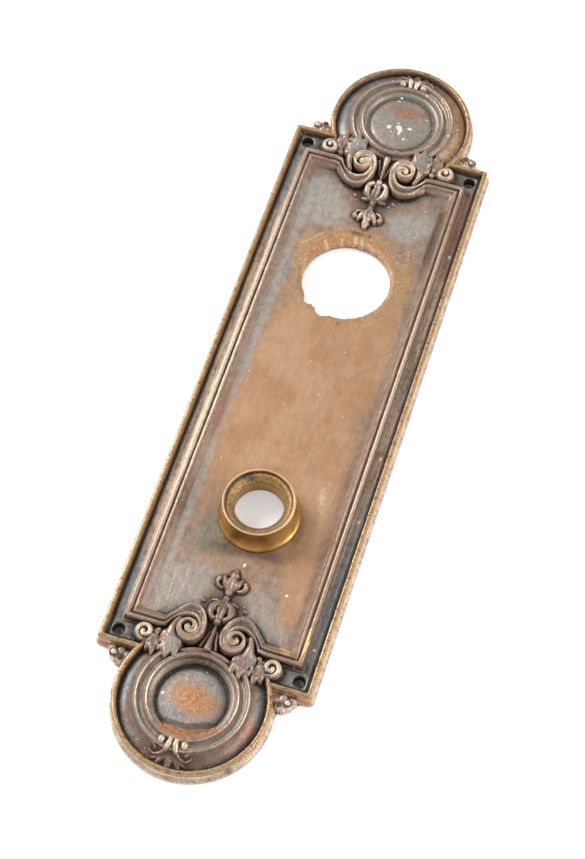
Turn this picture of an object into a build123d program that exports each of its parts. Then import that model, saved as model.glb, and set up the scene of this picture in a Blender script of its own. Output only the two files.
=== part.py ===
"""Cast door-lock backplate with a turned collar for the knob.

Frame: X across the plate, Y along it (towards the end with the cylinder hole), Z out of
the face. Z = 0 is the back plane that meets the door and the origin is the plan centre.
"""
import os
from math import atan, cos, degrees, radians, sin

from build123d import *

# Plate outline, over the rim
plate_width = 69.85
plate_length = 277.4
disc_radius = 24.9
shoulder_drop = 10.8
disc_y = plate_length / 2 - disc_radius
body_length = 2 * (disc_y - shoulder_drop)
rim_top = 5.8
rim_width = 1.6
rim_round = 0.55
flange_step = 0.8
flange_height = 1.3
floor_z = 3.4
root_sink = 0.4

# Moulded frame round the field
side_channel = 5.725
end_channel = 9.0
frame_half_width = plate_width / 2 - side_channel
frame_half_length = body_length / 2 - end_channel
frame_top = 6.3
frame_bead = 1.6
frame_quirk = 0.7
frame_second_bead = 1.2
frame_slope = 2.2

# Volutes at the four breaks of the frame
eye_x = 7.6
eye_drop = 2.0
eye_y = frame_half_length - eye_drop
frame_break = eye_x + 9.3
volute_top = 7.6
volute_lip = 0.75
volute_flute = 0.55
eye_radius = 2.0
volute_outer = [(159, 9.4), (140, 8.4), (122, 8.35), (106, 8.5), (92, 8.6), (78, 8.05), (62, 7.0),
                (39, 5.8), (11, 5.05), (-23, 5.1), (-51, 5.4), (-73, 5.4), (-94, 5.15), (-119, 4.7),
                (-145, 4.1), (-163, 3.75), (-180, 3.4)]
volute_inner = [(191.5, 7.55), (176, 6.4), (156, 5.5), (136, 4.75), (109, 4.2), (81, 3.75), (48, 3.15),
                (7, 2.75), (-39, 2.75), (-77, 2.8), (-114, 2.6), (-150, 2.45), (-180, 2.4)]

# Foliage: the petal's plan as parts of its length and width, then the corner rosette
PETAL_PLAN = [(0, 0), (0.35, -0.5), (0.7, -0.42), (1, 0), (0.7, 0.42), (0.35, 0.5)]
rosette_x = eye_x + 13.4
rosette_y = eye_y + 5.6
rosette_radius = 2.6
rosette_top = 6.2
rosette_heart = 1.3

# Turned rings and dish at each end
dish_radius = 10.9
dish_top = 4.9
dish_edge = 4.2
inner_ring_radius = 14.1
outer_ring_radius = 17.45
ring_top = 7.55
ring_half_width = 0.75
ring_valley = 6.1
cove_radius = disc_radius - 2.5
outer_ring_gap = 84.0

# Holes
screw_x = plate_width / 2 - 5.325
screw_y = body_length / 2 - 5.05
screw_hole = 4.0
cylinder_x = 0.3
cylinder_y = 46.4
cylinder_hole = 30.2
bite_small = 2.3
bite_large = 2.9

# Back of the casting
back_wall = 3.2
back_hollow = 1.0
screw_pad = 9.2
dish_hollow = 2.1
dish_hollow_radius = 15.0

# Turned collar
collar_y = -47.1
collar_base_radius = 13.45
collar_base_edge = 0.7
collar_neck_radius = 11.15
collar_neck_z = 10.2
collar_lip_radius = 11.85
collar_top = 13.0
collar_lip = 0.95
collar_bore = 16.0
collar_bore_length = 5.2
collar_bore_top = 10.2
collar_funnel_radius = 9.6
collar_step = 0.8
collar_spigot = 24.4
collar_relief = 21.2
collar_fit = 0.05
collar_tail = 0.5


def plate_outline(grow):
    """Plan of the plate, a rectangle with a disc past each end, grown by a step."""
    Rectangle(plate_width + 2 * grow, body_length + 2 * grow)
    with Locations((0, disc_y), (0, -disc_y)):
        Circle(disc_radius + grow)


def polar_points(knots):
    """Plan points of a scroll from its angles and radii about the eye."""
    return [(eye_x - r * cos(radians(a)), eye_y - r * sin(radians(a))) for a, r in knots]


def arc_chain(points):
    """Arcs through the points, three at a time, each starting where the last one ends."""
    for first in range(0, len(points) - 2, 2):
        ThreePointArc(*points[first:first + 3])


def lump(outline, rise, inset):
    """A raised form that draws in by the inset from the floor to its top."""
    height = rise + root_sink
    taper = degrees(atan(inset / height))
    extrude(outline.moved(Location((0, 0, floor_z - root_sink))), amount=height, taper=taper)


def petal(origin, start, end, width, rise):
    """One lobe of foliage, widest near its middle, from start to end as measured from an origin."""
    along = Vector(*end) - Vector(*start)
    across = Vector(-along.Y, along.X).normalized() * width
    root = Vector(*origin) + Vector(*start)
    with BuildSketch() as lobe:
        with BuildLine():
            Polyline(*[root + along * a + across * b for a, b in PETAL_PLAN], close=True)
        make_face()
    lump(lobe.sketch, rise, width * 0.32)


def berry(origin, place, radius, rise, sides=6):
    """A bead of foliage with flat sides, placed from an origin."""
    with BuildSketch() as ball:
        with Locations(Vector(*origin) + Vector(*place)):
            RegularPolygon(radius, sides)
    lump(ball.sketch, rise, radius * 0.5)


# Volute: a fluted band that leaves the frame, arches inwards and coils round its eye
outer_edge = polar_points(volute_outer)
inner_edge = polar_points(volute_inner)
flute_outer = polar_points([(a, r - volute_lip) for a, r in volute_outer[1:-1]])
flute_inner = polar_points([(a, r + volute_lip) for a, r in volute_inner[1:-1]])
with BuildPart() as volute:
    with BuildSketch(Plane.XY.offset(floor_z - root_sink)):
        with BuildLine():
            arc_chain(outer_edge)
            arc_chain(inner_edge)
            Line(outer_edge[-1], inner_edge[-1])
            Polyline(inner_edge[0], (frame_break + 0.1, frame_half_length),
                     (frame_break + 0.1, outer_edge[0][1]), outer_edge[0])
        make_face()
    extrude(amount=volute_top - floor_z + root_sink)
    with BuildSketch(Plane.XY.offset(volute_top - volute_flute)):
        with BuildLine():
            arc_chain(flute_outer)
            arc_chain(flute_inner)
            Line(flute_outer[-1], flute_inner[-1])
            Line(flute_outer[0], flute_inner[0])
        make_face()
    extrude(amount=volute_flute, mode=Mode.SUBTRACT)
    berry((eye_x, eye_y), (0, 0), eye_radius, volute_top - floor_z + 0.6, 10)

# Acanthus spray: a leaf over the rings, a second leaf and the rosette in the channel
eye = (eye_x, eye_y)
with BuildPart() as spray:
    petal(eye, (4.3, -0.4), (4.4, 6.6), 3.2, 4)
    petal(eye, (4, 3.2), (1.8, 9.8), 3.1, 3.9)
    petal(eye, (4.4, 3.2), (4.3, 10.9), 3.1, 4.4)
    petal(eye, (4.8, 3.4), (6.9, 10.2), 2.8, 3.9)
    petal(eye, (4, 2.4), (1.3, 6.8), 2.6, 3.6)
    petal(eye, (12.2, 7.2), (7.2, 5.8), 2.6, 2.6)
    petal(eye, (10.8, 5.2), (10, 11.8), 3, 2.9)
    petal(eye, (9.6, 5.2), (7.7, 10.8), 2.4, 2.7)
    berry(eye, (10.3, 4.3), 0.95, 2.6)
    with BuildSketch() as disc:
        with Locations((rosette_x, rosette_y)):
            RegularPolygon(rosette_radius, 12)
    lump(disc.sketch, rosette_top - floor_z - 0.4, 0.6)
    berry((rosette_x, rosette_y), (0, 0), rosette_heart, rosette_top - floor_z)

# Palmette drop: bud between the volutes, bead, shell and flame on the field
between_eyes = (0, eye_y)
with BuildPart() as drop:
    petal(between_eyes, (0, -2.1), (0, 5.2), 2.1, 2.8)
    petal(between_eyes, (-0.6, 0), (-2, 5), 1.8, 2.1)
    petal(between_eyes, (0.6, 0), (2, 5), 1.8, 2.1)
    berry(between_eyes, (0, -4.5), 1.15, 2.7)
    petal(between_eyes, (0, -12.6), (-3.5, -6.2), 2.9, 2.3)
    petal(between_eyes, (0, -12.6), (3.5, -6.2), 2.9, 2.3)
    petal(between_eyes, (0, -12.2), (0, -6), 2.3, 1.8)
    berry(between_eyes, (-1.8, -5.9), 0.95, 2.5)
    berry(between_eyes, (1.8, -5.9), 0.95, 2.5)
    berry(between_eyes, (0, -13.4), 0.9, 1.6)
    berry(between_eyes, (0, -15.3), 0.95, 1.6)
    petal(between_eyes, (0, -15.8), (0, -23.4), 2.6, 1.5)
    petal(between_eyes, (-0.3, -16.4), (-2.6, -21.8), 2.3, 1.3)
    petal(between_eyes, (0.3, -16.4), (2.6, -21.8), 2.3, 1.3)
    for side in (-1, 1):
        petal(between_eyes, (side * 1.6, -16.6), (side * 4.9, -21.2), 1.4, 0.8)
        berry(between_eyes, (side * 4.6, -20.1), 1.05, 1.2)

# Point ornament: beads, two curled strokes and a leaf where the outer ring turns
disc_centre = (0, disc_y)
with BuildPart() as point:
    petal(disc_centre, (0, 16.4), (0, 23), 2.7, 3.1)
    for side in (-1, 1):
        berry(disc_centre, (side * 3.6, 16.2), 1.1, 4.6)
        petal(disc_centre, (side * 0.7, 14.6), (side * 1.9, 19.2), 2, 4.5)
        petal(disc_centre, (side * 1.3, 17.6), (side * 5, 20.4), 1.8, 3.5)
        petal(disc_centre, (side * 0.5, 17.2), (side * 2.5, 22.4), 2.1, 2.6)

# Corner ear: a low berried bracket in the angle between the short side and the disc
shoulder = (plate_width / 2, body_length / 2)
ear_height = 3.0
with BuildPart() as ear:
    with BuildSketch():
        with Locations(Vector(*shoulder) + Vector(-7.42, 2.4)):
            Circle(3.1)
        with Locations(Vector(*shoulder) + Vector(-10.72, 3.8)):
            Circle(1.8)
        with Locations(Vector(*shoulder) + Vector(-9.32, 0)):
            Circle(1.8)
        make_hull()
    extrude(amount=ear_height)
    berry(shoulder, (-6.72, 3), 1.8, 1.2)
    berry(shoulder, (-9.12, 4.2), 1.35, 0.8)

# The casting
with BuildPart() as backplate:
    with BuildSketch():
        plate_outline(flange_step)
    extrude(amount=flange_height)
    with BuildSketch(Plane.XY.offset(flange_height)):
        plate_outline(0)
    extrude(amount=rim_top - flange_height)
    with BuildSketch(Plane.XY.offset(floor_z)):
        plate_outline(-rim_width)
    extrude(amount=rim_top - floor_z, mode=Mode.SUBTRACT)
    rim_face = backplate.faces().sort_by(Axis.Z)[-1]
    chamfer(rim_face.outer_wire().edges(), rim_round)

    # Moulding of the frame: bead, quirk, smaller bead and a slope down to the field
    for side in (-1, 1):
        corner_x = side * frame_half_width
        with BuildLine() as frame_path:
            Polyline((side * frame_break, -frame_half_length), (corner_x, -frame_half_length),
                     (corner_x, frame_half_length), (side * frame_break, frame_half_length))
        foot = Plane(origin=(side * frame_break, -frame_half_length, 0), x_dir=(0, 1, 0), z_dir=(1, 0, 0))
        with BuildSketch(foot):
            with BuildLine():
                second = frame_bead + frame_quirk / 2
                bead_2_end = second + frame_second_bead
                Polyline((0, floor_z - root_sink), (0, frame_top - 0.8), (0.35, frame_top),
                         (frame_bead - 0.35, frame_top), (frame_bead, frame_top - 0.8),
                         (second, frame_top - 1.1), (second + 0.3, frame_top - 0.35),
                         (bead_2_end - 0.3, frame_top - 0.35), (bead_2_end, frame_top - 1.1),
                         (bead_2_end + frame_slope * 0.4, floor_z + 0.7),
                         (bead_2_end + frame_slope, floor_z),
                         (bead_2_end + frame_slope, floor_z - root_sink), close=True)
            make_face()
        sweep(path=frame_path.wires()[0], transition=Transition.RIGHT)

    # Rings and dish
    for end in (-1, 1):
        axis = Axis((0, end * disc_y, 0), (0, 0, 1))
        with BuildSketch(Plane(origin=(0, end * disc_y, 0), x_dir=(1, 0, 0), z_dir=(0, -1, 0))):
            with BuildLine():
                valley = (inner_ring_radius + outer_ring_radius) / 2
                Polyline((0, dish_top), (dish_radius, dish_edge),
                         (inner_ring_radius - ring_half_width, ring_top - 1.4),
                         (inner_ring_radius, ring_top), (valley, ring_valley),
                         (valley, floor_z - root_sink), (0, floor_z - root_sink), close=True)
            make_face()
        revolve(axis=axis)
        start = outer_ring_gap / 2 - end * 90
        turn = (cos(radians(start)), sin(radians(start)), 0)
        with BuildSketch(Plane(origin=(0, end * disc_y, 0), x_dir=turn, z_dir=(turn[1], -turn[0], 0))):
            with BuildLine():
                Polyline((valley, ring_valley), (outer_ring_radius, ring_top),
                         (outer_ring_radius + 1.5, floor_z + 1.5), (cove_radius, floor_z),
                         (cove_radius, floor_z - root_sink), (valley, floor_z - root_sink), close=True)
            make_face()
        revolve(axis=axis, revolution_arc=360 - outer_ring_gap)

    # Ornament, alike in the four corners
    quarter = [volute.part, spray.part, ear.part]
    centre = [drop.part, point.part]
    upper = quarter + [mirror(item, about=Plane.YZ, mode=Mode.PRIVATE) for item in quarter] + centre
    add(upper)
    add([mirror(item, about=Plane.XZ, mode=Mode.PRIVATE) for item in upper])

    # Hole for the lock cylinder with its two bites, and the seat of the collar
    with BuildSketch():
        with Locations((cylinder_x, cylinder_y)):
            Circle(cylinder_hole / 2)
            with PolarLocations(cylinder_hole / 2 - 1.0, 1, 227):
                Circle(bite_small)
            with PolarLocations(cylinder_hole / 2 - 1.5, 1, 253):
                Circle(bite_large)
        with Locations((0, collar_y)):
            Circle(collar_spigot / 2 + collar_fit)
    extrude(amount=rim_top, mode=Mode.SUBTRACT)

    # Hollow back with its screw pads
    with BuildSketch():
        plate_outline(-back_wall)
        with GridLocations(2 * screw_x, 2 * screw_y, 2, 2):
            Circle(screw_pad / 2, mode=Mode.SUBTRACT)
    extrude(amount=back_hollow, mode=Mode.SUBTRACT)
    with BuildSketch():
        with Locations((0, disc_y), (0, -disc_y)):
            Circle(dish_hollow_radius)
    extrude(amount=dish_hollow, mode=Mode.SUBTRACT)
    with BuildSketch():
        with GridLocations(2 * screw_x, 2 * screw_y, 2, 2):
            Circle(screw_hole / 2)
    extrude(amount=rim_top, mode=Mode.SUBTRACT)

# The collar, turned, with its flange on the field and its spigot through the plate
with BuildPart() as knob_collar:
    with BuildSketch(Plane(origin=(0, collar_y, 0), x_dir=(1, 0, 0), z_dir=(0, -1, 0))):
        with BuildLine():
            base_z = floor_z + collar_base_edge
            bore_foot = collar_bore_top - collar_bore_length
            tail_z = back_hollow - collar_tail
            step_z = collar_top - collar_step
            lip_inner = collar_lip_radius - collar_lip
            flare = Polyline((collar_base_radius, base_z), (collar_neck_radius + 1.1, base_z + 1.1),
                             (collar_neck_radius + 0.3, base_z + 2.9), (collar_neck_radius, collar_neck_z))
            throat = Line((collar_funnel_radius, step_z - 0.25), (collar_bore / 2, collar_bore_top))
            Polyline(flare @ 1, (collar_lip_radius, collar_top - 1.6), (collar_lip_radius, collar_top),
                     (lip_inner, collar_top), (lip_inner, step_z), throat @ 0)
            Polyline(throat @ 1, (collar_bore / 2, bore_foot), (collar_relief / 2, bore_foot - 0.9),
                     (collar_relief / 2, tail_z), (collar_spigot / 2, tail_z),
                     (collar_spigot / 2, floor_z), (collar_base_radius, floor_z), flare @ 0)
        make_face()
    revolve(axis=Axis((0, collar_y, 0), (0, 0, 1)))

backplate.part.label = "backplate"
knob_collar.part.label = "knob_collar"

os.makedirs("parts", exist_ok=True)
export_step(backplate.part, "parts/backplate.step")
export_step(knob_collar.part, "parts/knob_collar.step")
print("backplate volume", round(backplate.part.volume), "collar volume", round(knob_collar.part.volume))
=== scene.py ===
# %% [markdown]
# # A cast door-lock backplate, dressed for its portrait
# The real plate is one bronze casting with a turned brass collar set into it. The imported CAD
# model comes in as a fixed frame, and every piece made here lies where that frame says. Work is
# done in millimetres and turned into metres when a piece is finished, because the carving is
# measured in tenths of a millimetre.

# %% Frame and helpers
from math import atan2, cos, pi, radians, sin, sqrt

import bmesh
import bpy
import numpy as np
from mathutils import Matrix, Vector, noise
from mathutils.bvhtree import BVHTree
from mathutils.geometry import delaunay_2d_cdt


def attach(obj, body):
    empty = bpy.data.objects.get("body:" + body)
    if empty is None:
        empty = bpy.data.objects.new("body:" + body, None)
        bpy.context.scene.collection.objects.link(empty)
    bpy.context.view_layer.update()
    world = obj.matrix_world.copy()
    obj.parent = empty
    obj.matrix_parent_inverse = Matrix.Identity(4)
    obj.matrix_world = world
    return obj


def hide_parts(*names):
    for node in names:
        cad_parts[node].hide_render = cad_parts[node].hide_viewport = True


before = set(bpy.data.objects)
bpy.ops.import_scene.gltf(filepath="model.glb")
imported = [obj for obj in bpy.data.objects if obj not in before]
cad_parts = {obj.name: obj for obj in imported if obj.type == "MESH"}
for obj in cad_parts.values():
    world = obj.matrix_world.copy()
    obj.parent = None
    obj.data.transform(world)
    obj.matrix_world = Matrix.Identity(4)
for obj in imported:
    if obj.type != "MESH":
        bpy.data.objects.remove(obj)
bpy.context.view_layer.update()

MM = 0.001

# %% [markdown]
# ## The camera
# The plate was photographed from its lower end, turned a little, from about 0.7 m. A long lens
# looks down at 61 degrees. It comes first, so that each piece can be looked at as it is made.

# %% Camera
view_right = Vector((0.95236355, 0.30491685, -0.00542045))
view_up = Vector((-0.26535973, 0.83731015, 0.47801247))
view_back = Vector((0.15029265, -0.45380328, 0.87833633))
camera_data = bpy.data.cameras.new("camera")
camera_data.lens = 89.71
camera_data.sensor_width = 36.0
camera_data.clip_end = 20.0
camera = bpy.data.objects.new("camera", camera_data)
turn = Matrix((view_right, view_up, view_back)).transposed().to_4x4()
camera.matrix_world = Matrix.Translation(Vector((106.084, -332.836, 620.193)) * MM) @ turn
bpy.context.collection.objects.link(camera)
bpy.context.scene.camera = camera
print("camera stands", round(camera.matrix_world.translation.length, 3), "m from the plate")

# %% [markdown]
# ## Sizes of the casting
# The plate is a rectangle with a disc past each end. Inside its rim runs a channel, then a moulded
# frame round the field. These are the sizes that the carving below is hung on.

# %% Sizes
PLATE_HALF_WIDTH = 34.925
BODY_HALF_LENGTH = 103.0
DISC_RADIUS = 24.9
DISC_Y = 113.8
FLOOR_Z = 3.4
FRAME_HALF_WIDTH = 29.2
FRAME_HALF_LENGTH = 94.0
FRAME_BREAK = 16.9
EYE_X, EYE_Y = 7.6, 92.0
CORNER_RADIUS = 0.75
SCREW_X, SCREW_Y, SCREW_RADIUS = 29.6, 97.95, 2.0
COLLAR_Y, COLLAR_OPENING = -47.1, 12.3
HOLE_X, HOLE_Y, HOLE_RADIUS = 0.3, 46.4, 15.1
FACE_BACK_Z = 1.0
casting_pieces = []

# %% From a bmesh to a finished piece
def finish_piece(bm, name, sharp=38, wear=1.0):
    """Turns a bmesh in millimetres into an object in metres that rides on the plate.

    Wear moves the surface in and out by a few hundredths of a millimetre, as in an old sand casting."""
    bmesh.ops.recalc_face_normals(bm, faces=bm.faces[:])
    bm.normal_update()
    moves = [(v, v.normal * wear * (0.07 * noise.noise(v.co * 0.45) + 0.045 * noise.noise(v.co * 1.5)))
             for v in bm.verts if v.co.z > 0.3]
    for v, move in moves:
        v.co += move
    bmesh.ops.scale(bm, vec=(MM, MM, MM), verts=bm.verts[:])
    mesh = bpy.data.meshes.new(name)
    bm.to_mesh(mesh)
    bm.free()
    mesh.shade_smooth()
    mesh.set_sharp_from_angle(angle=radians(sharp))
    piece = bpy.data.objects.new(name, mesh)
    bpy.context.collection.objects.link(piece)
    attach(piece, "root")
    print(name, "has", sum(len(p.vertices) - 2 for p in mesh.polygons), "triangles")
    return piece


def smooth_step(value, low, high):
    """0 below low, 1 above high, and an even ramp between."""
    t = np.clip((np.asarray(value, float) - low) / (high - low), 0.0, 1.0)
    return t * t * (3 - 2 * t)


# %% [markdown]
# ## Rim and back
# The rim is a rounded bead that follows the plate's outline, with a thin groove below it that is
# darkened by painted shade, a drafted wall and a small flange at the door. A loop of edges is drawn
# for each point of the rim's section, at its own distance in from the outline, and each loop is
# bridged to the next. That gives even loops all the way round, which a boolean or a bevel wouldn't.
# The last loop is bridged to the first, so the rim is a closed ring. The pads round the screws are
# made the same way.

# %% Outline of the plate
def outline(inward):
    """Points of the plate's outline, anticlockwise, moved inwards by a distance."""
    half_width = PLATE_HALF_WIDTH - inward
    half_length = BODY_HALF_LENGTH - inward
    radius = DISC_RADIUS - inward
    past = half_length - DISC_Y
    waist = sqrt(radius ** 2 - past ** 2)
    soft = max(CORNER_RADIUS - inward, 0.12)
    start = atan2(past, waist)
    shoulder = [(half_width - soft * (1 - cos(a)), half_length - soft * (1 - sin(a)))
                for a in np.linspace(0.3, pi / 2, 4)]
    shoulder += [(x, half_length) for x in np.linspace(half_width - soft, waist, 12)[1:-1]]
    half = [(half_width, y) for y in np.linspace(-half_length + soft, half_length - soft, 150)]
    half += shoulder
    half += [(radius * cos(a), DISC_Y + radius * sin(a)) for a in np.linspace(start, pi - start, 190)]
    half += [(-x, y) for x, y in shoulder[::-1]]
    return half + [(-x, -y) for x, y in half]


def inside_distance(x, y):
    """How far inside the plate's outline a point lies, for whole arrays of points."""
    box = np.minimum(PLATE_HALF_WIDTH - np.abs(x), BODY_HALF_LENGTH - np.abs(y))
    disc = DISC_RADIUS - np.hypot(x, np.abs(y) - DISC_Y)
    return np.maximum(box, disc)


def draw_loop(bm, points):
    """A closed loop of edges through points in space."""
    verts = [bm.verts.new(point) for point in points]
    return [bm.edges.new((verts[i - 1], verts[i])) for i in range(len(verts))]


def level_circle(cx, cy, radius, z, count):
    """Points of a circle that lies level."""
    turns = np.linspace(0, 2 * pi, count + 1)[:-1]
    return [(cx + radius * cos(a), cy + radius * sin(a), z) for a in turns]


def skin(bm, loops, closed=False):
    """Bridges each loop of edges to the next one."""
    pairs = list(zip(loops, loops[1:])) + ([(loops[-1], loops[0])] if closed else [])
    for one, other in pairs:
        bmesh.ops.bridge_loops(bm, edges=one + other)


# Sections of the rim and of a screw pad: distance in from the outline, or radius, and height
RIM_SECTION = [
    (2.9, 1.6), (2.85, 3), (2.5, 3.22), (2.2, 3.12), (1.95, 3.4), (1.72, 4.5), (1.6, 5.35), (1.46, 5.68),
    (1.24, 5.8), (0.9, 5.82), (0.54, 5.75), (0.25, 5.54), (0.08, 5.2), (0.02, 4.9), (0.1, 4.6),
    (0.36, 4.35), (0.34, 4.02), (0.12, 3.72), (0.02, 3.3), (-0.06, 2.3), (-0.1, 1.62), (-0.32, 1.42),
    (-0.7, 1.3), (-0.8, 1.12), (-0.8, 0.35), (-0.68, 0.08), (-0.45, 0), (2.9, 0), (3.15, 0.14), (3.3, 1),
]
PAD_SECTION = [(2.05, 1.3), (2.05, 0.1), (2.15, 0.02), (4.3, 0), (4.5, 0.15), (4.7, 1.3)]

# %% Rim, wall and back
plate = bmesh.new()
loops = []
for inward, z in RIM_SECTION:
    loops.append(draw_loop(plate, [(x, y, z) for x, y in outline(inward)]))
skin(plate, loops, closed=True)
screws = [(sx * SCREW_X, sy * SCREW_Y) for sx in (-1, 1) for sy in (-1, 1)]
for cx, cy in screws:
    loops = [draw_loop(plate, level_circle(cx, cy, radius, z, 40)) for radius, z in PAD_SECTION]
    skin(plate, loops, closed=True)
casting_pieces.append(finish_piece(plate, "plate_rim_and_back"))

# %% [markdown]
# ## The carved face
# Field, channel and foliage are one relief. It starts as a grid whose lines are close together
# where there is carving. Holes are cut by deleting faces and moving the cut edge onto the hole's
# true outline. Then each leaf, bead and bud pushes the grid up, as a modeller builds up wax: a
# stroke has a path, a width and a crest height, and strokes are joined with a small fillet. The
# two halves mirror each other, so a stroke is written once. Last the open edges are drawn down to
# a flat back, which is closed round the holes by a triangulation, because the fill operators
# would cover the holes too.

# %% Strokes of relief
def along_path(u, v, path):
    """Distance from points to a polyline, and how far along it the nearest place is, 0 to 1."""
    path = np.asarray(path, float)
    steps = np.hypot(*np.diff(path, axis=0).T)
    reach = np.concatenate([[0], np.cumsum(steps)]) / max(steps.sum(), 1e-9)
    best = np.full(u.shape, 1e9)
    place = np.zeros(u.shape)
    for (ax, ay), (bx, by), lo, hi in zip(path[:-1], path[1:], reach[:-1], reach[1:]):
        dx, dy = bx - ax, by - ay
        t = np.clip(((u - ax) * dx + (v - ay) * dy) / max(dx * dx + dy * dy, 1e-9), 0, 1)
        gap = np.hypot(u - ax - t * dx, v - ay - t * dy)
        near = gap < best
        best = np.where(near, gap, best)
        place = np.where(near, lo + t * (hi - lo), place)
    return best, place


def smooth_curve(points, count=24):
    """A Catmull-Rom line through a few points."""
    p = np.asarray(points, float)
    if len(p) < 3:
        return p
    p = np.vstack([2 * p[0] - p[1], p, 2 * p[-1] - p[-2]])
    out = []
    for i in range(1, len(p) - 2):
        for t in np.linspace(0, 1, max(count // (len(p) - 3), 2), endpoint=False):
            out.append(0.5 * (2 * p[i] + (p[i + 1] - p[i - 1]) * t
                              + (2 * p[i - 1] - 5 * p[i] + 4 * p[i + 1] - p[i + 2]) * t ** 2
                              + (3 * p[i] - p[i - 1] - 3 * p[i + 1] + p[i + 2]) * t ** 3))
    return np.vstack(out + [p[-2]])


def raise_stroke(z, u, v, stroke, fillet=0.2, rod=1.25):
    """Adds one stroke to a relief, rounded on top and steep below, and returns the new relief.

    Rod is how far its sides fall before they turn steep, in half widths of the stroke."""
    path, widths, tops, kind = stroke
    line = smooth_curve(path)
    reach = max(widths) + 1.2
    near = ((u > line[:, 0].min() - reach) & (u < line[:, 0].max() + reach)
            & (v > line[:, 1].min() - reach) & (v < line[:, 1].max() + reach))
    if not near.any():
        return z
    gap, place = along_path(u[near], v[near], line)
    width = np.interp(place, np.linspace(0, 1, len(widths)), widths)
    top = np.interp(place, np.linspace(0, 1, len(tops)), tops)
    side = gap / np.maximum(width, 0.05)
    inside = np.clip(1 - side ** 2, 0, 1)
    shape = np.sqrt(inside)
    if kind == "cup":
        shape = inside ** 0.35 - 0.22 * np.exp(-(side / 0.45) ** 2)
    elif kind == "vein":
        shape = shape * (1 - 0.16 * np.exp(-(side / 0.22) ** 2))
    height = top - rod * width * (1 - shape) - 4.5 * np.clip(side - 1, 0, 4) * width
    old = z[near]
    z = z.copy()
    z[near] = 0.5 * (old + height + np.sqrt((old - height) ** 2 + fillet ** 2))
    return z


def bead(x, y, radius, top):
    """A round bead, which is a stroke of almost no length."""
    return [(x, y), (x, y + 0.01)], (radius, radius), (top, top), "round"


# %% Patterns of the foliage
# Each stroke: path, half widths along it, crest heights along it, kind
LEAF_A = [
    ([(11.7, 90), (12.2, 91.4), (12.4, 93.6), (12.4, 95.6)],
     (0.55, 0.85, 1.3, 1.9), (6.9, 7.8, 8.2, 7.9), "round"),
    ([(12.4, 94.6), (12.1, 97.4), (11.9, 100.6)], (1.8, 3, 2.5), (7.3, 7.9, 8), "cup"),
    ([(11.4, 95.6), (9.8, 97.2), (8.9, 98.9)], (1.3, 1.5, 0.7), (7.1, 7.6, 7.2), "vein"),
    ([(11.2, 97.8), (9.9, 100.4), (9.1, 102.6)], (1.6, 1.65, 0.7), (7.5, 8.2, 7.8), "vein"),
    ([(12, 98.4), (11.9, 101.2), (12, 103.5)], (1.5, 1.55, 0.65), (7.6, 8.4, 8), "vein"),
    ([(13, 97), (14.2, 99.4), (14.6, 101.7)], (1.5, 1.45, 0.6), (7.1, 7.7, 7.3), "vein"),
    ([(13.3, 95), (14.6, 96.2), (15.1, 97.5)], (1.1, 1, 0.5), (6.9, 7.1, 6.6), "round"),
]
LEAF_B = [
    ([(20, 100.1), (18.6, 99.2), (17.5, 97.9)], (0.8, 0.95, 1.1), (5.5, 6.1, 6.4), "round"),
    ([(17.5, 96.8), (16.9, 99.2), (16.6, 101.4)], (1.5, 2.2, 1.6), (5.9, 6.4, 6.5), "cup"),
    ([(17.5, 99.2), (18.4, 100.8), (18.6, 102.3)], (1.1, 1.1, 0.5), (5.9, 6.4, 6), "vein"),
    ([(16.7, 100), (16.6, 102), (16.3, 103.7)], (1.2, 1.15, 0.5), (6.2, 6.9, 6.5), "vein"),
    ([(15.9, 98.4), (15.2, 100.2), (14.9, 101.9)], (1.1, 1.1, 0.5), (6, 6.6, 6.2), "vein"),
    ([(17.2, 97.6), (16.5, 96.6), (16.4, 95.6)], (0.5, 0.5, 0.5), (5.5, 5.8, 6), "round"),
]
BEADS = [bead(16.4, 95.4, 0.95, 6.4), bead(0, 87.3, 1.2, 6.5), bead(0, 78.6, 0.95, 5.6),
         bead(0, 77, 0.8, 5.1), bead(6.9, 80.9, 0.75, 4.5), bead(5.9, 79.3, 0.55, 4.2)]
BUD = [
    ([(0, 89.2), (0, 93), (0, 97)], (0.55, 0.9, 1.3), (5.4, 6.2, 7.3), "round"),
    ([(1, 90.4), (1.8, 93.6), (2.5, 96.4)], (0.4, 0.8, 0.7), (4.8, 5.4, 5.6), "round"),
]
SHELL = [
    ([(0, 80), (0, 82.6), (0, 85.7)], (1.6, 2.7, 2.3), (5.3, 6.1, 6.1), "vein"),
    ([(1.6, 80.6), (2.8, 82), (3.2, 83.8), (2.8, 85.5), (2, 86.3)],
     (0.9, 1.2, 1.25, 1.1, 0.8), (5.5, 6.2, 6.6, 6.8, 6.6), "round"),
    ([(1.2, 80.2), (2.7, 79.9), (4, 80.2)], (0.7, 0.7, 0.5), (4.9, 5, 4.6), "round"),
]
FLAME = [
    ([(0, 76.4), (0, 73.6), (0, 70.6)], (1.2, 2.3, 1.6), (5.1, 5.8, 5.5), "vein"),
    ([(0, 72), (0.1, 70.2), (0.2, 68.3)], (1.3, 1.2, 0.4), (5.4, 5.5, 4.7), "round"),
    ([(0.9, 75), (2, 73.4), (2.9, 71.4)], (0.9, 1.2, 0.6), (5.2, 5.7, 4.9), "round"),
    ([(2.6, 75.2), (4, 74.6), (4.6, 73.3), (4.3, 72.3)],
     (0.5, 0.6, 0.75, 0.85), (4.5, 4.9, 5.1, 5.2), "round"),
]
# Small deep dots: place, radius, depth
PITS = [
    (1.9, 84.6, 0.55, 1.5), (1.3, 71, 0.5, 0.7), (10, 92.4, 1.5, 1.6), (10.3, 94.2, 0.9, 1.2),
    (3.4, 73.6, 0.45, 0.6), (14.6, 100, 0.5, 0.9),
]
ROSETTE_X, ROSETTE_Y = 20.9, 97.2


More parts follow.
